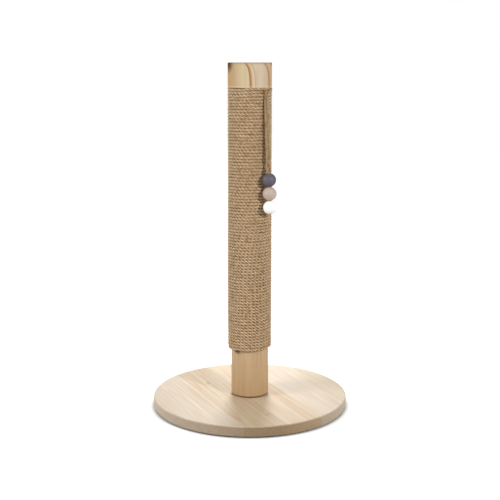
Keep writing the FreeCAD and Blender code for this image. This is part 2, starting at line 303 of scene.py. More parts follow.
@dataclass(frozen=True)
class StaveWood:
    """Pale pine of one stave of the base, with its grain along the stave.

    Attributes:
        name: The material's name.
        pale: Colour of the early wood.
        late: Colour of the late wood lines.
        heart: Distance of the tree's heart from the pole, across the staves and up.
        ring: Width of a growth ring.
        lean: How fast the heart rises along the stave.
        contrast: How strongly the rings show.
        bearing: Bearing of the grain.
        ends: Tint of the rim, strongest at the open ends of the grain: partly the real darker end grain, partly
            painted shade.
        end_bearing: Bearing at which the rim is tinted most: near where it cuts squarely through the grain,
            turned towards the front for the painted shade.
        end_grain_and_shade_depth: How strongly the open ends are tinted, as end grain and painted shade.
        rim_shade_depth: How strongly the whole rim is tinted, a painted shade of its upright faces.
        shade: Tint that darkens the board towards the front, a painted shade.
        marks: Each streak or small knot: its middle along and across the grain, its half length, half
            width and depth, and its colour.
    """

    name: str
    pale: str
    late: str
    heart: tuple[float, float]
    ring: float = 0.004
    lean: float = 0.03
    contrast: float = 0.45
    bearing: float = 25.0
    ends: str = "c4b9ac"
    end_bearing: float = 12.0
    end_grain_and_shade_depth: float = 0.62
    rim_shade_depth: float = 0.38
    shade: str = "e4d8c6"
    marks: tuple[tuple[tuple[float, float], Point, str], ...] = (
        ((-0.010, -0.105), (0.170, 0.007, 0.45), "b08a5c"), ((0.028, -0.130), (0.125, 0.007, 0.45), "e6dccb"),
        ((-0.030, -0.083), (0.140, 0.004, 0.3), "b58f66"), ((-0.092, -0.056), (0.010, 0.0045, 0.6), "a46f3c"),
        ((-0.145, -0.047), (0.030, 0.012, 0.35), "c09772"), ((0.135, -0.025), (0.009, 0.008, 0.65), "a0703a"),
        ((0.078, -0.0185), (0.050, 0.002, 0.5), "8a6844"), ((0.020, 0.062), (0.120, 0.005, 0.3), "b9986e"),
        ((-0.090, 0.100), (0.060, 0.006, 0.3), "bb9a72"))

    def marked(self, recipe: Recipe, wood: Socket, lying: Socket, wander: Socket) -> Socket:
        """Put the streaks and small knots into the wood.

        Args:
            recipe: The recipe that they belong to.
            wood: Colour of the wood without them.
            lying: Coordinates along and across the grain, with the heart at 0.
            wander: Noise that breaks their outlines up.

        Returns:
            Colour of the wood with them.
        """
        for (along, across), (half_length, half_width, depth), shade in self.marks:
            shift = (-along / half_length, (self.heart[0] - across) / half_width, 0.0)
            spot = recipe.mapped(lying, shift, scale=(1.0 / half_length, 1.0 / half_width, 0.0))
            far = recipe.add("ShaderNodeVectorMath", {0: spot}, operation="LENGTH").outputs["Value"]
            far = recipe.maths("ADD", far, recipe.spread(wander, 0.3, 0.7, -0.3, 0.3))
            wood = recipe.tint(wood, shade, far, (0.1, 1.0, depth, 0.0))
        return wood

    def rim_grain_and_shade_share(self, recipe: Recipe) -> Socket:
        """Find the board's rim, and most of all the open ends of the grain, by the way the surface faces; its
        tint is partly real end grain and partly painted shade.

        Args:
            recipe: The recipe that this belongs to.

        Returns:
            How strongly the wood is tinted there, as end grain and painted shade.
        """
        normals = recipe.add("ShaderNodeNewGeometry").outputs["Normal"]
        facing = recipe.add("ShaderNodeVectorMath", {0: normals, 1: tuple(outward(self.end_bearing))},
                            operation="DOT_PRODUCT").outputs["Value"]
        open_ends_and_shade = recipe.maths("POWER", recipe.maths("ABSOLUTE", facing), 4.0)
        upright = recipe.maths("ABSOLUTE", recipe.parts(normals)[2])
        rim = recipe.spread(upright, 0.3, 0.9, self.rim_shade_depth, 0.0)
        return recipe.maths("MULTIPLY_ADD", open_ends_and_shade, self.end_grain_and_shade_depth, rim, clamp=True)

    def make(self) -> bpy.types.Material:
        """Build the material.

        Returns:
            The material.
        """
        recipe = Recipe(self.name)
        lying = recipe.mapped(recipe.place(), shift=(0.0, -self.heart[0], -self.heart[1]),
                              turn=(0.0, 0.0, 90.0 - self.bearing))
        along, across, up = recipe.parts(lying)
        wander = recipe.grain(lying, (3.0, 14.0, 14.0))
        rise = recipe.maths("MULTIPLY_ADD", along, self.lean, up)
        side = recipe.maths("MULTIPLY_ADD", wander, 0.016, across)
        rings = recipe.rings(recipe.length(0.0, side, rise), self.ring,
                             ((0.0, 0.0), (0.55, 0.25), (0.86, 1.0), (0.97, 0.0)))
        streaks = recipe.grain(lying, (5.0, 170.0, 170.0), 4.0, 0.6)
        clouds = recipe.grain(lying, (6.0, 26.0, 26.0))
        strength = recipe.spread(clouds, 0.3, 0.7, 0.2 * self.contrast, self.contrast)
        wood = recipe.mix(recipe.maths("MULTIPLY", rings, strength), paint(self.pale), paint(self.late))
        wood = recipe.tint(wood, self.late, streaks, (0.35, 0.75, 0.0, 0.42))
        wood = self.marked(recipe, wood, lying, wander)
        # painted shade: the board darkens towards the front, along the grain
        wood = recipe.tint(wood, self.shade, along, (-0.12, 0.2, 0.0, 0.22), "MULTIPLY")
        # painted shade on the rim's upright faces, strongest near the grain's open ends, which are also really
        # darker end grain
        wood = recipe.mix(self.rim_grain_and_shade_share(recipe), wood, paint(self.ends), "MULTIPLY")
        fibres = recipe.grain(lying, (FIBRES_ALONG, FIBRES_ACROSS, FIBRES_ACROSS))
        return recipe.smoothed(wood, fibres, streaks, (0.5, 0.62))


@dataclass(frozen=True)
class TurnedPine:
    """Warm pine of the pole's core, with fine grain up and down, painted shade over its lowest part and a dark
    band at its foot.

    Attributes:
        name: The material's name.
        pale: Colour of the early wood.
        late: Colour of the late wood lines.
        dark_foot_band: Colour of the dark band at the foot.
        foot: Height of the foot.
        heart: Place of the tree's heart.
        ring: Width of a growth ring.
    """

    name: str = "core_pine"
    pale: str = "bfa580"
    late: str = "a0764c"
    dark_foot_band: str = "725031"
    foot: float = 0.023
    heart: tuple[float, float] = (0.012, 0.03)
    ring: float = 0.0034

    def make(self) -> bpy.types.Material:
        """Build the material.

        Returns:
            The material.
        """
        recipe = Recipe(self.name)
        standing = recipe.mapped(recipe.place(), shift=(-self.heart[0], -self.heart[1], 0.0))
        right, back, up = recipe.parts(standing)
        side = recipe.maths("MULTIPLY_ADD", recipe.grain(standing, (16.0, 16.0, 4.0)), 0.014, right)
        rings = recipe.rings(recipe.length(side, back), self.ring, ((0.0, 0.0), (0.8, 0.8), (0.95, 0.0)))
        wood = recipe.mix(recipe.maths("MULTIPLY", rings, 0.24), paint(self.pale), paint(self.late))
        streaks = recipe.grain(standing, (190.0, 190.0, 7.0), 4.0, 0.6)
        wood = recipe.tint(wood, self.late, streaks, (0.4, 0.75, 0.0, 0.5))
        # painted shade: the core darkens towards its foot, where the board meets it
        wood = recipe.tint(wood, self.late, up, (self.foot, self.foot + 0.09, 0.35, 0.0))
        # a dark band at the very foot, up to about 5 mm high
        wood = recipe.tint(wood, self.dark_foot_band, up, (self.foot + 0.003, self.foot + 0.0048, 0.9, 0.0))
        fibres = recipe.grain(standing, (FIBRES_ACROSS, FIBRES_ACROSS, FIBRES_ALONG))
        return recipe.smoothed(wood, fibres, streaks, (0.48, 0.6))


@dataclass(frozen=True)
class CapPine:
    """Cream pine of the cap, with a few bold growth rings that arch over its front.

    Attributes:
        name: The material's name.
        pale: Colour of the early wood.
        grey: Colour of the wood right of the middle.
        tan: Colour of the wood on the left.
        dun: Colour of the wood at the right edge.
        orange: Colour beside a bold ring.
        dark_top_edge: Colour of the darker top edge.
        foot: Colour of the paler lower edge.
        late: Colour of a bold ring.
        burnt: Colour of the resin at the corners.
        heart: Place of the rings' middle.
        flatness: Breadth of the rings from front to back as a share of their width.
        top: Height of the cap's top.
        height: Height of the cap.
        bend: How far the rings draw in near the top.
        bend_height: Height over which they do.
        reach: Distance at which the list of rings ends.
        rings: Distance of each ring at the top, and how bold it is.
        corners: Middle and size of each resin patch.
        drawn: Scale of the patches along X, Y and Z.
    """

    name: str = "cap_pine"
    pale: str = "c4b291"
    grey: str = "cabba4"
    tan: str = "af8656"
    dun: str = "b59a78"
    orange: str = "b27f4a"
    dark_top_edge: str = "9f8461"
    foot: str = "dfccac"
    late: str = "7d4219"
    burnt: str = "432106"
    heart: tuple[float, float] = (-0.0262, -0.0108)
    flatness: float = 0.3
    top: float = 0.7045
    height: float = 0.049
    bend: float = 0.012
    bend_height: float = 0.011
    reach: float = 0.1
    rings: tuple[tuple[float, float], ...] = (
        (0.0154, 1.0), (0.0258, 0.35), (0.0525, 0.75), (0.065, 0.6), (0.074, 0.6), (0.086, 0.8))
    corners: tuple[tuple[Point, float], ...] = (
        ((-0.0425, -0.016, 0.7025), 0.0132), ((0.0435, -0.012, 0.7045), 0.004))
    drawn: Point = (1.0, 0.5, 0.62)

    def resin(self, recipe: Recipe) -> Socket:
        """Find the resin by the distances to its patches' middles.

        Args:
            recipe: The recipe that they belong to.

        Returns:
            The share of resin.
        """
        drawn_out = recipe.mapped(recipe.place(), scale=self.drawn)
        shown: Socket | float = 0.0
        for middle, size in self.corners:
            spot = tuple(part * share for part, share in zip(middle, self.drawn))
            far = recipe.add("ShaderNodeVectorMath", {0: drawn_out, 1: spot}, operation="DISTANCE")
            near = recipe.spread(far.outputs["Value"], size * 0.3, size, 1.0, 0.0)
            shown = recipe.maths("MAXIMUM", shown, near)
        return shown

    def bold_rings(self, recipe: Recipe, place: Socket) -> tuple[Socket, Socket]:
        """Return the shares of late and of orange wood.

        Args:
            recipe: The recipe that they belong to.
            place: Distance from the heart as a share of the reach.

        Returns:
            The share of late wood, sharp outside and soft inside, and of the orange beside it.
        """
        stops: list[tuple[float, Colour]] = [(0.0, (0.0, 0.0, 0.0, 1.0))]
        for at, depth in self.rings:
            start = at / self.reach
            stops += [(start - 0.013, (0.0, 0.0, 0.0, 1.0)), (start - 0.003, (depth, 0.0, 0.0, 1.0)),
                      (start + 0.01, (0.4 * depth, depth ** 2, 0.0, 1.0)),
                      (start + 0.03, (0.0, 0.75 * depth ** 2, 0.0, 1.0)), (start + 0.055, (0.0, 0.0, 0.0, 1.0))]
        shares = recipe.add("ShaderNodeSeparateColor", {0: recipe.ramp(place, stops)}).outputs
        return shares[0], shares[1]

    def make(self) -> bpy.types.Material:
        """Build the material.

        Returns:
            The material.
        """
        recipe = Recipe(self.name)
        standing = recipe.mapped(recipe.place(), shift=(-self.heart[0], -self.heart[1], -self.top),
                                 scale=(1.0, self.flatness, 1.0))
        right, back, up = recipe.parts(standing)
        fall = recipe.maths("POWER", math.e, recipe.maths("DIVIDE", up, self.bend_height))
        drawn_in = recipe.maths("MULTIPLY", recipe.maths("SUBTRACT", 1.0, fall), self.bend)
        bent = recipe.maths("SUBTRACT", recipe.length(right, back), drawn_in)
        wander = recipe.grain(standing, (22.0, 60.0, 7.0))
        bent = recipe.maths("ADD", bent, recipe.spread(wander, 0.2, 0.8, -0.0012, 0.0012))
        late, orange = self.bold_rings(recipe, recipe.maths("DIVIDE", bent, self.reach, clamp=True))
        wood = recipe.tint(paint(self.pale), self.grey, right, (0.026, 0.036, 0.0, 1.0))
        wood = recipe.tint(wood, self.dun, right, (0.048, 0.071, 0.0, 1.0))
        wood = recipe.tint(wood, self.tan, right, (-0.016, 0.01, 0.85, 0.0))
        wood = recipe.mix(orange, wood, paint(self.orange))
        wood = recipe.mix(late, wood, paint(self.late))
        streaks = recipe.grain(standing, (150.0, 450.0, 6.0), 4.0, 0.6)
        wood = recipe.tint(wood, self.tan, streaks, (0.4, 0.75, 0.0, 0.3))
        # the cap darkens towards its top edge
        wood = recipe.tint(wood, self.dark_top_edge, up, (-0.0045, -0.0005, 0.0, 0.85))
        wood = recipe.tint(wood, self.foot, up, (0.0045 - self.height, 0.0015 - self.height, 0.0, 0.35))
        wood = recipe.mix(self.resin(recipe), wood, paint(self.burnt))
        fibres = recipe.grain(standing, (FIBRES_ACROSS, 3 * FIBRES_ACROSS, FIBRES_ALONG))
        return recipe.smoothed(wood, fibres, streaks, (0.5, 0.6), 0.15)


@dataclass(frozen=True)
class DowelBeech:
    """Plain beech of the dowels, with short dark flecks."""

    name: str = "dowel_beech"
    pale: str = "d8b48c"
    fleck: str = "9c6f47"

    def make(self) -> bpy.types.Material:
        """Build the material.

        Returns:
            The material.
        """
        recipe = Recipe(self.name)
        flecks = recipe.grain(recipe.place(), (900.0, 900.0, 90.0), 3.0, 0.6)
        wood = recipe.tint(paint(self.pale), self.fleck, flecks, (0.5, 0.8, 0.0, 0.8))
        return recipe.done(wood, 0.6, recipe.relief(flecks, 0.3, 0.0002), Specular_IOR_Level=0.3)


@dataclass(frozen=True)
class PlantFibre:
    """Sisal or jute, with pale and brown fibres that run along the strands.

    Attributes:
        name: The material's name.
        pale: Colour of the lightest fibres.
        body: Colour of most fibres.
        dark: Colour of the darkest fibres, and of the painted shade in the grooves.
        strands: Strands round the rope, whose grooves get a painted shade.
        slant: How far the fibres lean across a strand.
        tone_rate: How often a strand's tone changes, per metre.
        strand_step: Distance between two strands in the noise of the tones.
        gap_shade_reach: Distances from the pole's axis between which the painted shade clears, for wound rope.
        gap_shade_tint: Painted shade deep between two turns.
    """

    name: str
    pale: str
    body: str
    dark: str
    strands: int = 3
    slant: float = 20.0
    tone_rate: float = 250.0
    strand_step: float = 7.3
    gap_shade_reach: tuple[float, float] | None = None
    gap_shade_tint: str = "e6d0a8"

    def make(self) -> bpy.types.Material:
        """Build the material.

        Returns:
            The material.
        """
        recipe = Recipe(self.name)
        along, around, _ = recipe.parts(recipe.place("UV"))
        slanted = recipe.maths("MULTIPLY_ADD", along, self.slant, around)
        drawn_out = recipe.add("ShaderNodeCombineXYZ", {0: recipe.maths("MULTIPLY", along, 120.0),
                                                        1: recipe.maths("MULTIPLY", slanted, 46.0)}).outputs[0]
        fibres = recipe.noise(drawn_out, 1.0, 4.0, 0.65)
        patches = recipe.grain(recipe.place(), (70.0, 70.0, 150.0), 3.0, 0.6)
        turn = recipe.maths("MULTIPLY", around, 2 * math.pi * self.strands)
        groove_painted_shade = recipe.spread(recipe.maths("COSINE", turn), -1.0, 0.3, 1.0, 0.0)
        number = recipe.maths("FLOOR", recipe.maths("MULTIPLY_ADD", around, self.strands, 0.5))
        strand = recipe.add("ShaderNodeCombineXYZ", {0: recipe.maths("MULTIPLY", along, self.tone_rate),
                                                     1: recipe.maths("MULTIPLY", number, self.strand_step)})
        tones = recipe.noise(strand.outputs[0], 1.0, 2.0, 0.6)
        colour = recipe.ramp(fibres, ((0.33, paint(self.dark)), (0.46, paint(self.body)),
                                      (0.57, paint(self.body)), (0.69, paint(self.pale))))
        colour = recipe.tint(colour, self.pale, patches, (0.35, 0.7, 0.0, 0.4))
        colour = recipe.tint(colour, self.pale, tones, (0.50, 0.70, 0.0, 0.62))
        colour = recipe.tint(colour, self.dark, tones, (0.32, 0.48, 0.55, 0.0))
        # painted shade: the grooves between the strands are darkened
        colour = recipe.mix(recipe.maths("MULTIPLY", groove_painted_shade, 0.65), colour, paint(self.dark))
        # painted shade: the rope darkens deep between two turns, close to the pole's axis
        if self.gap_shade_reach:
            right, back, _ = recipe.parts(recipe.place())
            colour = recipe.tint(colour, self.gap_shade_tint, recipe.length(right, back), (*self.gap_shade_reach, 0.6, 0.0),
                                 "MULTIPLY")
        normal = recipe.relief(fibres, 0.7, 0.0005)
        return recipe.done(colour, 0.85, normal, Specular_IOR_Level=0.2, Sheen_Weight=0.15)


@dataclass(frozen=True)
class PressedFelt:
    """Grey-brown pressed felt of the foot pads."""

    name: str = "pad_felt"
    body: str = "6d655b"
    light: str = "9a9084"

    def make(self) -> bpy.types.Material:
        """Build the material.

        Returns:
            The material.
        """
        recipe = Recipe(self.name)
        hairs = recipe.noise(recipe.mapped(recipe.place(), scale=(1.0, 1.0, 2.0)), 1300.0, 5.0, 0.7, 1.2)
        colour = recipe.ramp(hairs, ((0.35, paint(self.body)), (0.7, paint(self.light))))
        return recipe.done(colour, 0.95, recipe.relief(hairs, 0.8, 0.0004), Sheen_Weight=0.3,
                           Specular_IOR_Level=0.1)


@dataclass(frozen=True)
class ZincSteel:
    """Zinc plating with faint rubbing marks."""

    name: str = "zinc_plate"
    light: str = "c9ccd0"
    dull: str = "9b9fa6"

    def make(self) -> bpy.types.Material:
        """Build the material.

        Returns:
            The material.
        """
        recipe = Recipe(self.name)
        bloom = recipe.noise(recipe.place(), 420.0, 4.0, 0.6)
        colour = recipe.ramp(bloom, ((0.35, paint(self.dull)), (0.65, paint(self.light))))
        rough = recipe.spread(bloom, 0.3, 0.7, 0.24, 0.42)
        return recipe.done(colour, rough, recipe.relief(bloom, 0.15, 0.0001), Metallic=1.0)


@dataclass(frozen=True)
class BeadPaint:
    """Satin paint on a turned wooden bead, thin enough for the turning marks to show.

    Attributes:
        name: The material's name.
        body: Colour of the paint.
        thin: Colour where the paint is thinner and the wood shows through.
        worn: How much of the thin colour shows.
    """

    name: str
    body: str
    thin: str
    worn: float = 0.4

    def make(self) -> bpy.types.Material:
        """Build the material.

        Returns:
            The material.
        """
        recipe = Recipe(self.name)
        marks = recipe.grain(recipe.place(), (40.0, 40.0, 260.0), 2.0, 0.4)
        patches = recipe.noise(recipe.place(), 130.0, 3.0, 0.6)
        share = recipe.maths("MULTIPLY", recipe.spread(patches, 0.4, 0.75, 0.0, 1.0), self.worn)
        colour = recipe.mix(share, paint(self.body), paint(self.thin))
        rough = recipe.spread(marks, 0.3, 0.7, 0.5, 0.64)
        return recipe.done(colour, rough, recipe.relief(marks, 0.05, 0.0002), Specular_IOR_Level=0.4)


def dress(material: bpy.types.Material, *nodes: str) -> None:
    """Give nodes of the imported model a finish.

    Args:
        material: The finish.
        nodes: The nodes' names.
    """
    for node in nodes:
        piece = bpy.data.objects[node]
        if not piece.material_slots:
            piece.data.materials.append(material)
        for slot in piece.material_slots:
            slot.material = material


def unit(rows: np.ndarray) -> np.ndarray:
    """Return rows of vectors, each brought to a length of 1."""
    return rows / np.linalg.norm(rows, axis=1)[:, None]


def travelled_to(points: np.ndarray) -> np.ndarray:
    """Return how far each point of a line is from its start, measured along it."""
    return np.concatenate([[0.0], np.cumsum(np.linalg.norm(np.diff(points, axis=0), axis=1))])


def route_points(name: str, controls: Sequence[Vector], steps: int, closed: bool = False) -> np.ndarray:
    """Read the points of the smooth line that a few control points steer.

    Args:
        name: Name of the line while it exists.
        controls: The route's control points.
        steps: Points on each span of the line.
        closed: Whether the line comes back to its start.

    Returns:
        The points, one row each.
    """
    curve = bpy.data.curves.new(name, "CURVE")
    curve.dimensions = "3D"
    curve.resolution_u = steps
    spline = curve.splines.new("NURBS")
    spline.points.add(len(controls) - 1)
    for point, control in zip(spline.points, controls):
        point.co = (*control, 1.0)
    spline.order_u = 3
    spline.use_cyclic_u = closed
    spline.use_endpoint_u = not closed
    line = bpy.data.objects.new(name, curve)
    bpy.context.scene.collection.objects.link(line)
    bpy.context.view_layer.update()
    graph = bpy.context.evaluated_depsgraph_get()
    mesh = bpy.data.meshes.new_from_object(line.evaluated_get(graph))
    points = np.empty(len(mesh.vertices) * 3)
    mesh.vertices.foreach_get("co", points)
    bpy.data.meshes.remove(mesh)
    bpy.data.objects.remove(line)
    bpy.data.curves.remove(curve)
    return points.reshape(-1, 3)


def smooth_piece(name: str, points: np.ndarray, faces: list[list[int]],
                 marks: np.ndarray) -> bpy.types.Object:
    """Make a smooth-shaded piece.

    Args:
        name: Name of the piece.
        points: Its points, one row each.
        faces: The numbers of each face's points.
        marks: Metres along and turns around at each corner of each face.

    Returns:
        The piece, with the marks as its UV map.
    """
    mesh = bpy.data.meshes.new(name)
    mesh.from_pydata(points.tolist(), [], faces)
    layer = mesh.uv_layers.new(name="along_and_around")
    layer.data.foreach_set("uv", marks.astype(np.float32).ravel())
    mesh.shade_smooth()
    mesh.update()
    piece = bpy.data.objects.new(name, mesh)
    bpy.context.scene.collection.objects.link(piece)
    return piece


@dataclass
class LaidRope:
    """Rope or string whose strands are twisted right-handed about its middle line.

    Attributes:
        diameter: Diameter over the strands.
        lay: Length in which a strand goes round once.
        strand_share: Radius of a strand as a share of the rope's radius.
        strands: How many strands there are.
        corners: Points across each strand.
        unevenness: How much a strand's thickness wanders.
        wander_share: Length between two changes of thickness, as a share of the lay.
        seed: Start of the random numbers.
    """

    diameter: float
    lay: float
    strand_share: float = 0.6
    strands: int = 3
    corners: int = 5
    unevenness: float = 0.06
    wander_share: float = 0.6
    seed: int = 7

    def outline(self) -> tuple[np.ndarray, np.ndarray]:
        """Draw a cross section.

        Returns:
            The angles and the radii of the points round it.
        """
        outer = self.diameter / 2
        strand = outer * self.strand_share
        middle = outer - strand
        width = 2 * math.pi / self.strands
        within = (np.arange(self.corners) / self.corners - 0.5) * width
        angles = np.concatenate([within + width * number for number in range(self.strands)])
        lobe = middle * np.cos(within) + np.sqrt(strand ** 2 - (middle * np.sin(within)) ** 2)
        return angles, np.tile(lobe, self.strands)

    def wander(self, distances: np.ndarray) -> np.ndarray:
        """Let each strand's thickness wander.

        Args:
            distances: How far each cross section is along the rope.

        Returns:
            Random values from -1 to 1, one row for each strand.
        """
        numbers = np.random.default_rng(self.seed)
        knots = max(4, int(distances[-1] / (self.lay * self.wander_share)) + 2)
        at = np.linspace(0.0, distances[-1], knots)
        return np.stack([np.interp(distances, at, numbers.uniform(-1, 1, knots)) for _ in range(self.strands)])

    def sweep(self, name: str, middles: np.ndarray, away: np.ndarray | None = None, closed: bool = False,
              radii: np.ndarray | None = None, travelled: float = 0.0) -> bpy.types.Object:
        """Lay the strands along a line.

        Args:
            name: Name of the piece.
            middles: Points of the middle line.
            away: Directions that a point at angle 0 faces, or None to carry one along the line.
            closed: Whether the line is a loop.
            radii: Thickness at each point as a share of the full one.
            travelled: Length of rope before the first point, which sets the strands' turn.

        Returns:
            The piece, closed at its ends, with a UV map in metres along and turns around.
        """
        count = len(middles)
        ahead = np.roll(middles, -1, axis=0) - np.roll(middles, 1, axis=0)
        if not closed:
            ahead[0], ahead[-1] = middles[1] - middles[0], middles[-1] - middles[-2]
        ahead = unit(ahead)
        if away is None:
            away = self.carried(ahead)
        away = unit(away - ahead * np.sum(away * ahead, axis=1)[:, None])
        beside = np.cross(ahead, away)
        distances = travelled_to(middles)
        whole = distances[-1] + (float(np.linalg.norm(middles[0] - middles[-1])) if closed else 0.0)
        lay = whole / max(1, round(whole / self.lay)) if closed else self.lay
        angles, reach = self.outline()
        size = len(angles)
        face = angles[None, :] + (2 * math.pi * (distances + travelled) / lay)[:, None]
        thick = 1.0 + self.unevenness * np.repeat(self.wander(distances).T, self.corners, axis=1)
        shape = reach[None, :] * thick
        if radii is not None:
            shape = shape * radii[:, None]
        ring = (middles[:, None, :] + shape[..., None] * (np.cos(face)[..., None] * away[:, None, :]
                                                          + np.sin(face)[..., None] * beside[:, None, :]))
        rows = count if closed else count - 1
        first = (np.arange(rows) * size)[:, None]
        second = (((np.arange(rows) + 1) % count) * size)[:, None]
        left = np.arange(size)[None, :]
        right = (left + 1) % size
        faces = np.stack([first + left, first + right, second + right, second + left], axis=-1).reshape(-1, 4)
        lengths = np.append(distances, whole) + travelled
        starts = np.broadcast_to(lengths[:rows, None], (rows, size))
        ends = np.broadcast_to(lengths[1:rows + 1, None], (rows, size))
        low = np.broadcast_to(left / size, (rows, size)) - 0.5 / self.strands
        high = low + 1.0 / size
        marks = np.stack([np.stack([starts, low], -1), np.stack([starts, high], -1),
                          np.stack([ends, high], -1), np.stack([ends, low], -1)], axis=-2).reshape(-1, 2)
        polygons = faces.tolist()
        if not closed:
            polygons.append(list(range(size))[::-1])
            polygons.append(list(range((count - 1) * size, count * size)))
            marks = np.concatenate([marks, np.tile([[travelled, 0.5]], (2 * size, 1))])
        return smooth_piece(name, ring.reshape(-1, 3), polygons, marks)

    @staticmethod
    def carried(ahead: np.ndarray) -> np.ndarray:
        """Carry a sideways direction along a line without letting it turn about the line.

        Args:
            ahead: Unit directions of the line at its points.

        Returns:
            A sideways unit direction at each point.
        """
        side = np.cross(ahead[0], (0.0, 1.0, 0.0))
        if np.linalg.norm(side) < 0.1:
            side = np.cross(ahead[0], (1.0, 0.0, 0.0))
        sides = []
        for direction in ahead:
            side = side - direction * float(side @ direction)
            side = side / np.linalg.norm(side)
            sides.append(side)
        return np.array(sides)


@dataclass
class LooseFibres:
    """Thin fibres that stand away from a rope, all in one piece.

    Attributes:
        thickness: Thickness of a fibre at its root.
        rings: Cross sections along a fibre.
        curl: How far the tips stray, as a share of the length.
        taper: Share of the thickness that is lost at the tip.
        seed: Start of the random numbers.
    """

    thickness: float = 0.00016
    rings: int = 5
    curl: float = 0.22
    taper: float = 0.75
    seed: int = 21

    def grow(self, name: str, roots: np.ndarray, ways: np.ndarray, lengths: np.ndarray,
             fall: float) -> bpy.types.Object:
        """Grow a curved three-sided fibre from each root.

        Args:
            name: Name of the piece.
            roots: Where the fibres start, one row each.
            ways: Directions in which they start.
            lengths: Their lengths.
            fall: How far a fibre's tip drops, as a share of its length.

        Returns:
            The piece, with a UV map in metres along and turns around.
        """
        numbers = np.random.default_rng(self.seed)
        ways = unit(ways)
        count = len(roots)
        along = np.linspace(0.0, 1.0, self.rings)
        curl = numbers.normal(0.0, self.curl, (count, 3))
        curl[:, 2] -= fall
        line = (roots[:, None, :] + ways[:, None, :] * (lengths[:, None] * along)[..., None]
                + curl[:, None, :] * (lengths[:, None] * along ** 2)[..., None])
        side = unit(np.cross(ways, numbers.normal(size=(count, 3))))
        beside = np.cross(ways, side)
        angles = 2 * math.pi * np.arange(FIBRE_SIDES) / FIBRE_SIDES
        round_it = (np.cos(angles)[None, None, :, None] * side[:, None, None, :]
                    + np.sin(angles)[None, None, :, None] * beside[:, None, None, :])
        thick = self.thickness / 2 * (1.0 - self.taper * along)
        points = (line[:, :, None, :] + round_it * thick[None, :, None, None]).reshape(-1, 3)
        start = (np.arange(count) * self.rings * FIBRE_SIDES)[:, None, None]
        row = (np.arange(self.rings - 1) * FIBRE_SIDES)[None, :, None]
        this = np.arange(FIBRE_SIDES)[None, None, :]
        after = (this + 1) % FIBRE_SIDES
        faces = np.stack([start + row + this, start + row + after, start + row + FIBRE_SIDES + after,
                          start + row + FIBRE_SIDES + this], axis=-1).reshape(-1, 4).tolist()
        ends = start.reshape(-1)
        last = ends + (self.rings - 1) * FIBRE_SIDES
        faces += np.stack([ends + 2, ends + 1, ends], axis=-1).tolist()
        faces += np.stack([last, last + 1, last + 2], axis=-1).tolist()
        corners = np.array([corner for face in faces for corner in face])
        offsets = numbers.uniform(0.0, 1.0, count)
        marks = np.stack([offsets[corners // (self.rings * FIBRE_SIDES)],
                          (corners % FIBRE_SIDES) / FIBRE_SIDES], axis=-1)
        return smooth_piece(name, points, faces, marks)


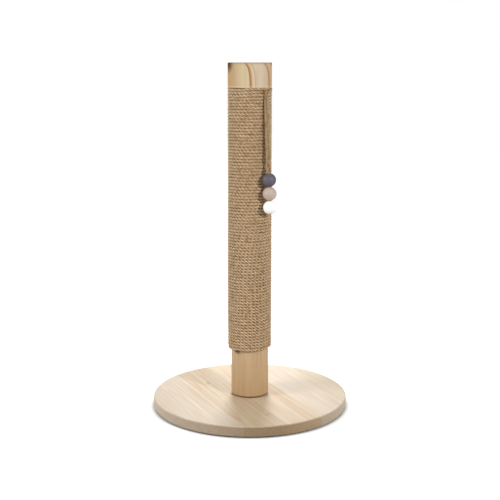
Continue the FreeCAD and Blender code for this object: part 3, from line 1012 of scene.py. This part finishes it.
@dataclass
class Studio:
    """Plain pale room: floor, soft lamps and the camera of the photograph.

    Attributes:
        eye: Where the camera stands.
        dip: How far it looks down, in degrees.
        lens: Focal length in millimetres.
        picture: Width of the picture in the camera, in millimetres.
        rise: How far the picture is moved up, as a share of its width.
        sky: Brightness of the room's own light.
        floor_side: Side of the floor.
        contact: Distance from the post within which the floor's glow dims, a painted contact shadow.
        lamps: Name, place, aimed point, side and power in watts of each square lamp.
    """

    eye: Point = (0.0004, -1.9889, 0.7056)
    dip: float = 9.5
    lens: float = 71.29
    picture: float = 36.0
    rise: float = -0.0448
    sky: float = 0.38
    floor_side: float = 12.0
    contact: float = 0.02
    lamps: tuple[tuple[str, Point, Point, float, float], ...] = (
        ("left_lamp", (-1.85, -0.8, 1.1), (0.0, 0.0, 0.35), 0.8, 30.0),
        ("right_lamp", (1.36, -1.45, 1.15), (0.0, 0.0, 0.35), 0.14, 29.0),
        ("back_lamp", (0.0, 0.6, 0.5), (0.0, 0.0, 0.02), 0.25, 3.9))

    def seen(self, recipe: Recipe) -> Socket:
        """Tell what the camera sees, straight, mirrored or through glass, from plain light.

        Args:
            recipe: The recipe that this belongs to.

        Returns:
            1 for what it sees and 0 for light.
        """
        path = recipe.add("ShaderNodeLightPath").outputs
        mirrored = recipe.maths("MAXIMUM", path["Is Glossy Ray"], path["Is Transmission Ray"])
        return recipe.maths("MAXIMUM", path["Is Camera Ray"], mirrored)

    def floor(self) -> None:
        """Lay the pale floor that keeps the post's shadow, with a painted contact shadow where its glow dims
        near the post.
        """
        bpy.ops.object.select_all(action="DESELECT")
        bpy.ops.mesh.primitive_plane_add(size=self.floor_side, location=(0.0, 0.0, 0.0))
        floor = bpy.context.object
        floor.name = "studio_floor"
        recipe = Recipe("studio_floor")
        shaded = recipe.add("ShaderNodeBsdfDiffuse", {"Color": (0.5, 0.5, 0.5, 1.0)})
        # painted contact shadow: the glow that the camera sees dims by ambient occlusion near the post
        near = recipe.add("ShaderNodeAmbientOcclusion", {"Distance": self.contact}, samples=8)
        glow_under_painted_shadow = recipe.spread(near.outputs["AO"], 0.42, 0.85, 0.0, 0.9)
        glow = recipe.add("ShaderNodeEmission", {"Strength": glow_under_painted_shadow})
        white = recipe.add("ShaderNodeAddShader", {0: shaded.outputs[0], 1: glow.outputs[0]})
        both = recipe.add("ShaderNodeMixShader", {0: self.seen(recipe), 1: shaded.outputs[0],
                                                  2: white.outputs[0]})
        recipe.add("ShaderNodeOutputMaterial", {"Surface": both.outputs[0]})
        floor.data.materials.append(recipe.material)

    def room(self) -> None:
        """Light the room evenly, and show it white."""
        world = bpy.data.worlds.new("studio_room")
        world.use_nodes = True
        bpy.context.scene.world = world
        recipe = Recipe.__new__(Recipe)
        recipe.tree = world.node_tree
        recipe.tree.nodes.clear()
        strength = recipe.maths("MAXIMUM", self.seen(recipe), self.sky)
        light = recipe.add("ShaderNodeBackground", {"Color": (1.0, 1.0, 1.0, 1.0), "Strength": strength})
        recipe.add("ShaderNodeOutputWorld", {"Surface": light.outputs[0]})

    def light(self) -> None:
        """Hang the soft lamps."""
        for name, at, aim, side, power in self.lamps:
            light = bpy.data.lights.new(name, "AREA")
            light.size = side
            light.energy = power
            lamp = bpy.data.objects.new(name, light)
            lamp.location = at
            lamp.rotation_euler = (Vector(aim) - Vector(at)).to_track_quat("-Z", "Y").to_euler()
            bpy.context.scene.collection.objects.link(lamp)

    def camera(self) -> None:
        """Set up the photograph's view."""
        lens = bpy.data.cameras.new("photo_camera")
        lens.lens = self.lens
        lens.sensor_width = self.picture
        lens.shift_y = self.rise
        camera = bpy.data.objects.new("photo_camera", lens)
        camera.location = self.eye
        camera.rotation_euler = (math.radians(90.0 - self.dip), 0.0, 0.0)
        bpy.context.scene.collection.objects.link(camera)
        bpy.context.scene.camera = camera

    def build(self) -> None:
        """Set the whole studio up."""
        bpy.context.scene.view_settings.view_transform = "Standard"
        self.floor()
        self.room()
        self.light()
        self.camera()
        LOG.info("studio ready")


@dataclass
class RoundBase:
    """Glued round board with its felt pads, bolt, washer and dowels.

    Attributes:
        woods: Finish of each stave, from left to right.
        pad_radius: Radius of a felt pad.
        pad_height: Its thickness.
        pad_edge: How far its edges are rounded.
        pad_ring: Distance of the pads from the middle.
        pad_count: How many there are.
    """

    woods: tuple[StaveWood, ...] = (
        StaveWood("stave_wood_1", "c8bcaa", "b69876", (-0.14, 0.06)),
        StaveWood("stave_wood_2", "c5b59c", "ac895e", (-0.078, -0.002), 0.006, 0.03, 0.6),
        StaveWood("stave_wood_3", "c9b79d", "b29066", (0.02, 0.09), 0.005, 0.015, 0.34),
        StaveWood("stave_wood_4", "cec1b0", "bba181", (0.11, -0.11), 0.005, 0.015, 0.36),
        StaveWood("stave_wood_5", "cbbfaa", "b89b77", (0.17, 0.07), 0.0045, 0.02, 0.34),
    )
    pad_radius: float = 0.0125
    pad_height: float = 0.0025
    pad_edge: float = 0.0006
    pad_ring: float = 0.165
    pad_count: int = 6

    def felt_disc(self, name: str, middle: Vector) -> bpy.types.Object:
        """Model one pad: a round of felt, pressed thinner and rounder at its edge.

        Args:
            name: The pad's name.
            middle: Middle of its lower face.

        Returns:
            The pad.
        """
        bpy.ops.object.select_all(action="DESELECT")
        bpy.ops.mesh.primitive_cylinder_add(vertices=40, radius=self.pad_radius, depth=self.pad_height,
                                            location=(middle.x, middle.y, self.pad_height / 2))
        pad = bpy.context.object
        pad.name = name
        bpy.ops.object.mode_set(mode="EDIT")
        bpy.ops.mesh.select_all(action="SELECT")
        bpy.ops.mesh.bevel(offset=self.pad_edge, segments=3, affect="EDGES")
        bpy.ops.object.mode_set(mode="OBJECT")
        bpy.ops.object.transform_apply(location=True, rotation=True, scale=True)
        bpy.ops.object.shade_smooth_by_angle(angle=math.radians(50))
        return pad

    def build(self) -> None:
        """Dress the board and lay the pads."""
        for number, wood in enumerate(self.woods, 1):
            dress(wood.make(), f"base_stave_{number}")
        felt = PressedFelt().make()
        for number in range(1, self.pad_count + 1):
            middle = outward(90 + 360 * (number - 1) / self.pad_count) * self.pad_ring
            pad = self.felt_disc(f"felt_disc_{number}", middle)
            pad.data.materials.append(felt)
            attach(pad, "post")
            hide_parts(f"foot_pad_{number}")
        dress(ZincSteel().make(), "base_bolt", "base_washer", "core_insert")
        dress(DowelBeech().make(), "locating_dowel_1", "locating_dowel_2")
        LOG.info("base: %d staves, %d felt pads", len(self.woods), self.pad_count)


@dataclass
class WoundPole:
    """Core, rope winding, staples, cap and cap dowel.

    Attributes:
        rope: The rope.
        ring_radius: Distance of the rope's middle line from the pole's axis.
        bottom: Height of the middle line where the rope starts.
        top: Height of the middle line where it ends.
        start_bearing: Where it starts.
        end_bearing: Where it ends, under the cap.
        turns: Whole turns between the two.
        controls: Control points in a turn.
        settling: How fast the rows come level, as a rate over the whole winding.
        climb: Degrees at each side of the back in which the rows climb.
        jitter: How far the rows stray up and down.
        slack: How much looser the winding is low on the pole, on the left.
        tightening: Share of the slack at the start, and how fast it goes, over the whole winding.
        dent: How far the top turns are pressed down at the front left, below the cap.
        dent_reach: Degrees left of the front at which they are, and degrees to where they aren't.
        dent_turns: Share of the turns at which the dent starts, and over which it grows.
        ceiling: Height of the cap's underside, which the top turn is pressed against.
        fuzz_count: How many fibres stand away from the winding.
        fuzz_lengths: Shortest and longest of them.
        fuzz_lift: How steeply the flat and the raised ones start.
        fuzz_flat: Share of the flat ones.
        tuft_count: How many fibres the rope's lower end has.
        tuft_bearing: Where the rope's frayed lower end shows.
        tuft_spread: Degrees to either side that it covers.
        tuft_lengths: Shortest and longest of its fibres at the sides.
        tuft_drop: How much longer they are where it hangs lowest.
        tuft_peak: Where in its width that is, from -1 to 1.
    """

    rope: LaidRope = field(default_factory=lambda: LaidRope(0.0066, 0.0225, 0.53, corners=6))
    ring_radius: float = 0.0413
    bottom: float = 0.1246
    top: float = 0.6561
    start_bearing: float = -110.0
    end_bearing: float = 180.0
    turns: int = 86
    controls: int = 12
    settling: float = 1.6
    climb: float = 60.0
    jitter: float = 0.00026
    slack: float = 0.0005
    tightening: tuple[float, float] = (1.5, 2.2)
    dent: float = 0.0030
    dent_reach: float = 32.0
    dent_turns: tuple[float, float] = (0.93, 0.07)
    ceiling: float = 0.65545
    fuzz_count: int = 3000
    fuzz_lengths: tuple[float, float] = (0.002, 0.007)
    fuzz_lift: tuple[float, float] = (0.12, 0.45)
    fuzz_flat: float = 0.7
    tuft_count: int = 130
    tuft_bearing: float = -45.0
    tuft_spread: float = 8.0
    tuft_lengths: tuple[float, float] = (0.003, 0.0045)
    tuft_drop: float = 0.006
    tuft_peak: float = 0.45

    def winding_controls(self) -> list[Vector]:
        """Steer the winding, whose rows lie level at the front and climb at the back.

        A control point stands further out than the line that it steers, by the share that the smooth
        line cuts off.

        Returns:
            The control points, from the lower end up.
        """
        whole = self.turns + (self.end_bearing - self.start_bearing) / 360
        count = math.ceil(whole * self.controls)
        pitch = (self.top - self.bottom) / whole
        outside = 1.0 / (0.25 * math.cos(math.radians(360 / self.controls)) + 0.75)
        from_part, over = self.dent_turns
        at_start, rate = self.tightening
        controls = []
        for number in range(count + 1):
            part = number / count
            bearing = self.start_bearing + part * whole * 360
            off_front = (bearing + 180) % 360 - 180
            settled = min(1.0, part * self.settling)
            level = -off_front / 360 * pitch * settled * min(1.0, (180 - abs(off_front)) / self.climb)
            near_dent = max(0.0, 1.0 - abs(off_front + self.dent_reach) / self.dent_reach) ** 0.5
            pressed = near_dent * max(0.0, (part - from_part) / over)
            height = self.bottom + part * (self.top - self.bottom) + level - self.dent * pressed
            loose = self.slack * min(1.0, max(0.0, at_start - rate * part))
            middle = outward(bearing) * (self.ring_radius + loose) * outside - Vector((loose, 0, 0))
            controls.append(middle + Vector((0, 0, height)))
        return controls

    def winding(self) -> list[bpy.types.Object]:
        """Wind the rope.

        Returns:
            The rope, in three lengths that meet end to end.
        """
        steps = 11
        middles = route_points("winding_route", self.winding_controls(), steps)
        numbers = np.random.default_rng(3)
        knots = self.controls * self.turns
        places = np.linspace(0, knots - 1, len(middles))
        middles[:, 2] += np.interp(places, np.arange(knots), numbers.uniform(-1, 1, knots)) * self.jitter
        away = middles.copy()
        away[:, 2] = 0.0
        gone = travelled_to(middles)
        third = len(middles) // 3
        lengths = []
        for name, first, last in (("lower", 0, third + 1), ("middle", third, 2 * third + 1),
                                  ("upper", 2 * third, len(middles))):
            length = self.rope.sweep(f"sisal_winding_{name}", middles[first:last], away[first:last],
                                     travelled=float(gone[first]))
            for vertex in length.data.vertices:
                vertex.co.z = min(vertex.co.z, self.ceiling)
            lengths.append(length)
        return lengths

    def fuzz(self) -> bpy.types.Object:
        """Grow the short fibres that stand away from the whole winding.

        Returns:
            The fibres, in one piece.
        """
        numbers = np.random.default_rng(9)
        count = self.fuzz_count
        bearings = numbers.uniform(0.0, 2 * math.pi, count)
        heights = numbers.uniform(self.bottom, self.ceiling - 0.002, count)
        out = np.stack([np.sin(bearings), -np.cos(bearings), np.zeros(count)], axis=-1)
        round_pole = np.stack([np.cos(bearings), np.sin(bearings), np.zeros(count)], axis=-1)
        sway = numbers.normal(0.0, 0.35, (count, 3))
        lift = numbers.choice(self.fuzz_lift, count, p=[self.fuzz_flat, 1.0 - self.fuzz_flat])[:, None]
        ways = round_pole * numbers.choice([-1.0, 1.0], count)[:, None] + out * lift + sway * 0.75
        roots = out * (self.ring_radius + self.rope.diameter * 0.44)
        roots[:, 2] = heights
        lengths = numbers.uniform(*self.fuzz_lengths, count)
        return LooseFibres().grow("sisal_fuzz", roots, ways, lengths, 0.15)

    def tuft(self) -> bpy.types.Object:
        """Fray the rope's lower end, which is tucked under the lowest turn.

        Returns:
            Its fibres, in one piece.
        """
        numbers = np.random.default_rng(15)
        count = self.tuft_count
        aside = numbers.uniform(-1.0, 1.0, count)
        flat = np.array([outward(spot) for spot in self.tuft_bearing + self.tuft_spread * aside])
        roots = flat * numbers.uniform(0.0392, 0.0412, count)[:, None]
        roots[:, 2] = self.bottom + 0.0016 - numbers.uniform(0.0, 0.0015, count)
        lean = np.array(outward(self.tuft_bearing + 90))
        ways = np.array([0.0, 0.0, -1.0]) + lean * numbers.normal(0.15, 0.45, count)[:, None] + flat * 0.12
        peak = (1.0 - np.abs(aside - self.tuft_peak)).clip(0.0) ** 2
        lengths = numbers.uniform(*self.tuft_lengths, count) + self.tuft_drop * peak
        return LooseFibres(0.0005, seed=33).grow("sisal_frayed_end", roots, ways, lengths, 0.1)

    def build(self) -> None:
        """Wind the rope and dress the wood and the staples."""
        sisal = PlantFibre("sisal_fibre", "e4ceb4", "c0a176", "765328", gap_shade_reach=(0.0416, 0.0436)).make()
        lengths = self.winding()
        fuzz, tuft = self.fuzz(), self.tuft()
        # painted shade: the frayed end gets a darker copy of the sisal's finish
        shaded = PlantFibre("sisal_painted_shade_fibre", "ac7f4e", "896135", "56371b").make()
        for length in (*lengths, fuzz, tuft):
            length.data.materials.append(shaded if length is tuft else sisal)
            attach(length, "post")
            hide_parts("rope_wrap")
        dress(TurnedPine().make(), "core_pole")
        dress(CapPine().make(), "top_cap")
        dress(DowelBeech("cap_dowel_beech").make(), "cap_dowel")
        dress(ZincSteel("staple_zinc", "8f8482", "6b6260").make(), "rope_staple_top")
        # painted shade: the lower staple gets a darker copy of the staple finish
        dress(ZincSteel("staple_zinc_painted_shade", "5f5248", "40372f").make(), "rope_staple_bottom")
        LOG.info("pole: rope wound in %d turns", self.turns)


@dataclass
class BeadToy:
    """Doubled string hitched under the cap, with three beads and the knot that carries them.

    Attributes:
        string: The string.
        left_exit: Where the left half leaves the rope.
        right_exit: Where the right half leaves it.
        apex: Where the two halves meet.
        down: Direction of the hanging string.
        apart: Direction from the inner to the outer half at the apex.
        offset: Distance of each half from the middle of the pair.
        meeting: From the apex up to where the halves come together.
        parting: From the apex up to where they start to part.
        drop: From the apex down to the knot.
        knot_drop: From the apex to the knot's middle.
        twist: Turn of the pair below the apex, in degrees, and the length that it takes.
        last_twist: Further turn of the pair just above the beads, and its length.
        bead_top: From the apex to the first bead, below which the pair is squeezed.
        squeeze: Share by which it is, and the length above the bead in which that happens.
        step: Distance between two cross sections.
        rounding: Length over which each half's first end is rounded.
        hidden_radius: Distance of the bight from the pole's axis.
        knot_points: Control points of the knot.
    """

    string: LaidRope = field(
        default_factory=lambda: LaidRope(0.0052, 0.014, 0.53, corners=6, unevenness=0.04, seed=11))
    left_exit: Point = (0.030372, -0.036196, 0.649380)
    right_exit: Point = (0.043331, -0.018841, 0.652400)
    apex: Point = (0.032377, -0.037509, 0.636880)
    down: Point = (0.036998, -0.042862, -0.998396)
    apart: Point = (0.652372, -0.755781, 0.056621)
    offset: float = 0.00265
    meeting: float = 0.0055
    parting: float = 0.012
    drop: float = 0.2210
    knot_drop: float = 0.2247
    twist: tuple[float, float] = (-49.0, 0.02)
    last_twist: tuple[float, float] = (-260.0, 0.034)
    bead_top: float = 0.1478
    squeeze: tuple[float, float] = (0.13, 0.006)
    step: float = 0.0011
    rounding: float = 0.0022
    hidden_radius: float = 0.04085
    knot_points: int = 18

    def half_route(self, start: Point) -> list[Vector]:
        """Steer one half of the string, from its exit to the knot.

        Args:
            start: Its exit.

        Returns:
            Its control points.
        """
        apex, down = Vector(self.apex), Vector(self.down)
        meeting = apex - down * self.meeting
        return [Vector(start), meeting, apex, apex + down * 0.0127, apex + down * self.drop]

    def half(self, name: str, start: Point, side: float) -> bpy.types.Object:
        """Hang one half of the string.

        Args:
            name: The piece's name.
            start: Its exit.
            side: -1 for the inner half and 1 for the outer one.

        Returns:
            The piece.
        """
        points = route_points(f"{name}_route", self.half_route(start), 150)
        apex, down, apart = (np.array(value) for value in (self.apex, self.down, self.apart))
        below = (points - apex) @ down
        across = np.cross(down, apart)
        turn = np.radians(self.twist[0]) * np.clip(below / self.twist[1], 0.0, 1.0)
        angle, length = self.last_twist
        turn = turn + np.radians(angle) * np.clip((below - self.bead_top + length) / length, 0.0, 1.0)
        grow = np.clip((below + self.parting) / self.parting, 0.0, 1.0)
        grow = grow * grow * (3 - 2 * grow)
        share, length = self.squeeze
        squeeze = 1.0 - share * np.clip((below - self.bead_top + length) / length, 0.0, 1.0)
        lift = side * self.offset * grow * squeeze
        points = points + lift[:, None] * (np.cos(turn)[:, None] * apart + np.sin(turn)[:, None] * across)
        gone = travelled_to(points)
        even = np.linspace(0.0, gone[-1], int(gone[-1] / self.step))
        points = np.stack([np.interp(even, gone, points[:, axis]) for axis in range(3)], axis=1)
        radii = np.sqrt(np.clip(1.0 - (1.0 - np.clip(even / self.rounding, 0.05, 1.0)) ** 2, 0.0, 1.0))
        radii *= np.interp(even, gone, squeeze)
        piece = self.string.sweep(name, points, radii=radii)
        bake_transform(piece)
        return piece

    def hitch(self) -> bpy.types.Object:
        """Model the bight of the string behind the rope's end.

        Returns:
            The piece.
        """
        left, right = Vector(self.left_exit), Vector(self.right_exit)

        def tucked(point: Vector) -> Vector:
            """Return a point moved in behind the rope."""
            flat = Vector((point.x, point.y, 0.0)).normalized() * self.hidden_radius
            return Vector((flat.x, flat.y, point.z))

        controls = [left, tucked(left), tucked((left + right) / 2), tucked(right), right]
        points = route_points("hitch_route", controls, 16)
        gone = travelled_to(points)
        radii = np.clip(0.9 + np.minimum(gone, gone[-1] - gone) / 0.02, 0.9, 1.0)
        return self.string.sweep("string_bight", points, radii=radii)

    def knot(self) -> bpy.types.Object:
        """Tie the knot that the last bead rests on, a closed trefoil.

        Returns:
            The piece.
        """
        axis = Vector(self.down)
        middle = Vector(self.apex) + axis * self.knot_drop
        first = axis.orthogonal().normalized()
        second = axis.cross(first)
        controls = []
        for number in range(self.knot_points):
            angle = 2 * math.pi * number / self.knot_points
            reach = 0.0024 + 0.0014 * math.cos(3 * angle)
            height = 0.0013 * math.sin(3 * angle)
            flat = first * math.cos(2 * angle) + second * math.sin(2 * angle)
            controls.append(middle + flat * reach + axis * height)
        points = route_points("knot_route", controls, 8, closed=True)
        return LaidRope(0.0046, 0.011, seed=5).sweep("string_knot", points, closed=True)

    def build(self) -> None:
        """Hang the string, tie the knot and paint the beads."""
        fibre = PlantFibre("string_fibre", "bfa889", "a68a65", "684c2e").make()
        # one string's two halves get lit and shaded copies of its finish: the inner warmer and darker as
        # painted shade, the outer paler and greyer as painted light
        outer = PlantFibre("outer_string_painted_light_fibre", "c9b797", "a5906b", "5a4329").make()
        inner = PlantFibre("inner_string_painted_shade_fibre", "cfb38c", "b18a5b", "5a381a").make()
        knot = self.knot()
        left = self.half("string_left", self.left_exit, -1.0)
        right = self.half("string_right", self.right_exit, 1.0)
        hitch = self.hitch()
        for piece, finish in ((knot, fibre), (left, inner), (right, outer), (hitch, fibre)):
            piece.data.materials.append(finish)
        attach(knot, "toy")
        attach(hitch, "post")
        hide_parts("toy_strand_left", "toy_leg_inner")
        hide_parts("toy_strand_right", "toy_leg_outer")
        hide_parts("toy_knot")
        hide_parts("toy_hitch")
        dress(BeadPaint("grey_bead_paint", "514c56", "5e5761").make(), "bead_grey")
        dress(BeadPaint("pink_bead_paint", "b6a296", "c2b1a6").make(), "bead_pink")
        dress(BeadPaint("white_bead_paint", "fbfaf8", "f5f2ee", 0.2).make(), "bead_white")


def main() -> None:
    """Load the frame, then build and dress the post."""
    logging.basicConfig(level=logging.INFO, format="%(message)s")
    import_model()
    Studio().build()
    BeadToy().build()
    WoundPole().build()
    RoundBase().build()


if __name__ == "__main__":
    main()
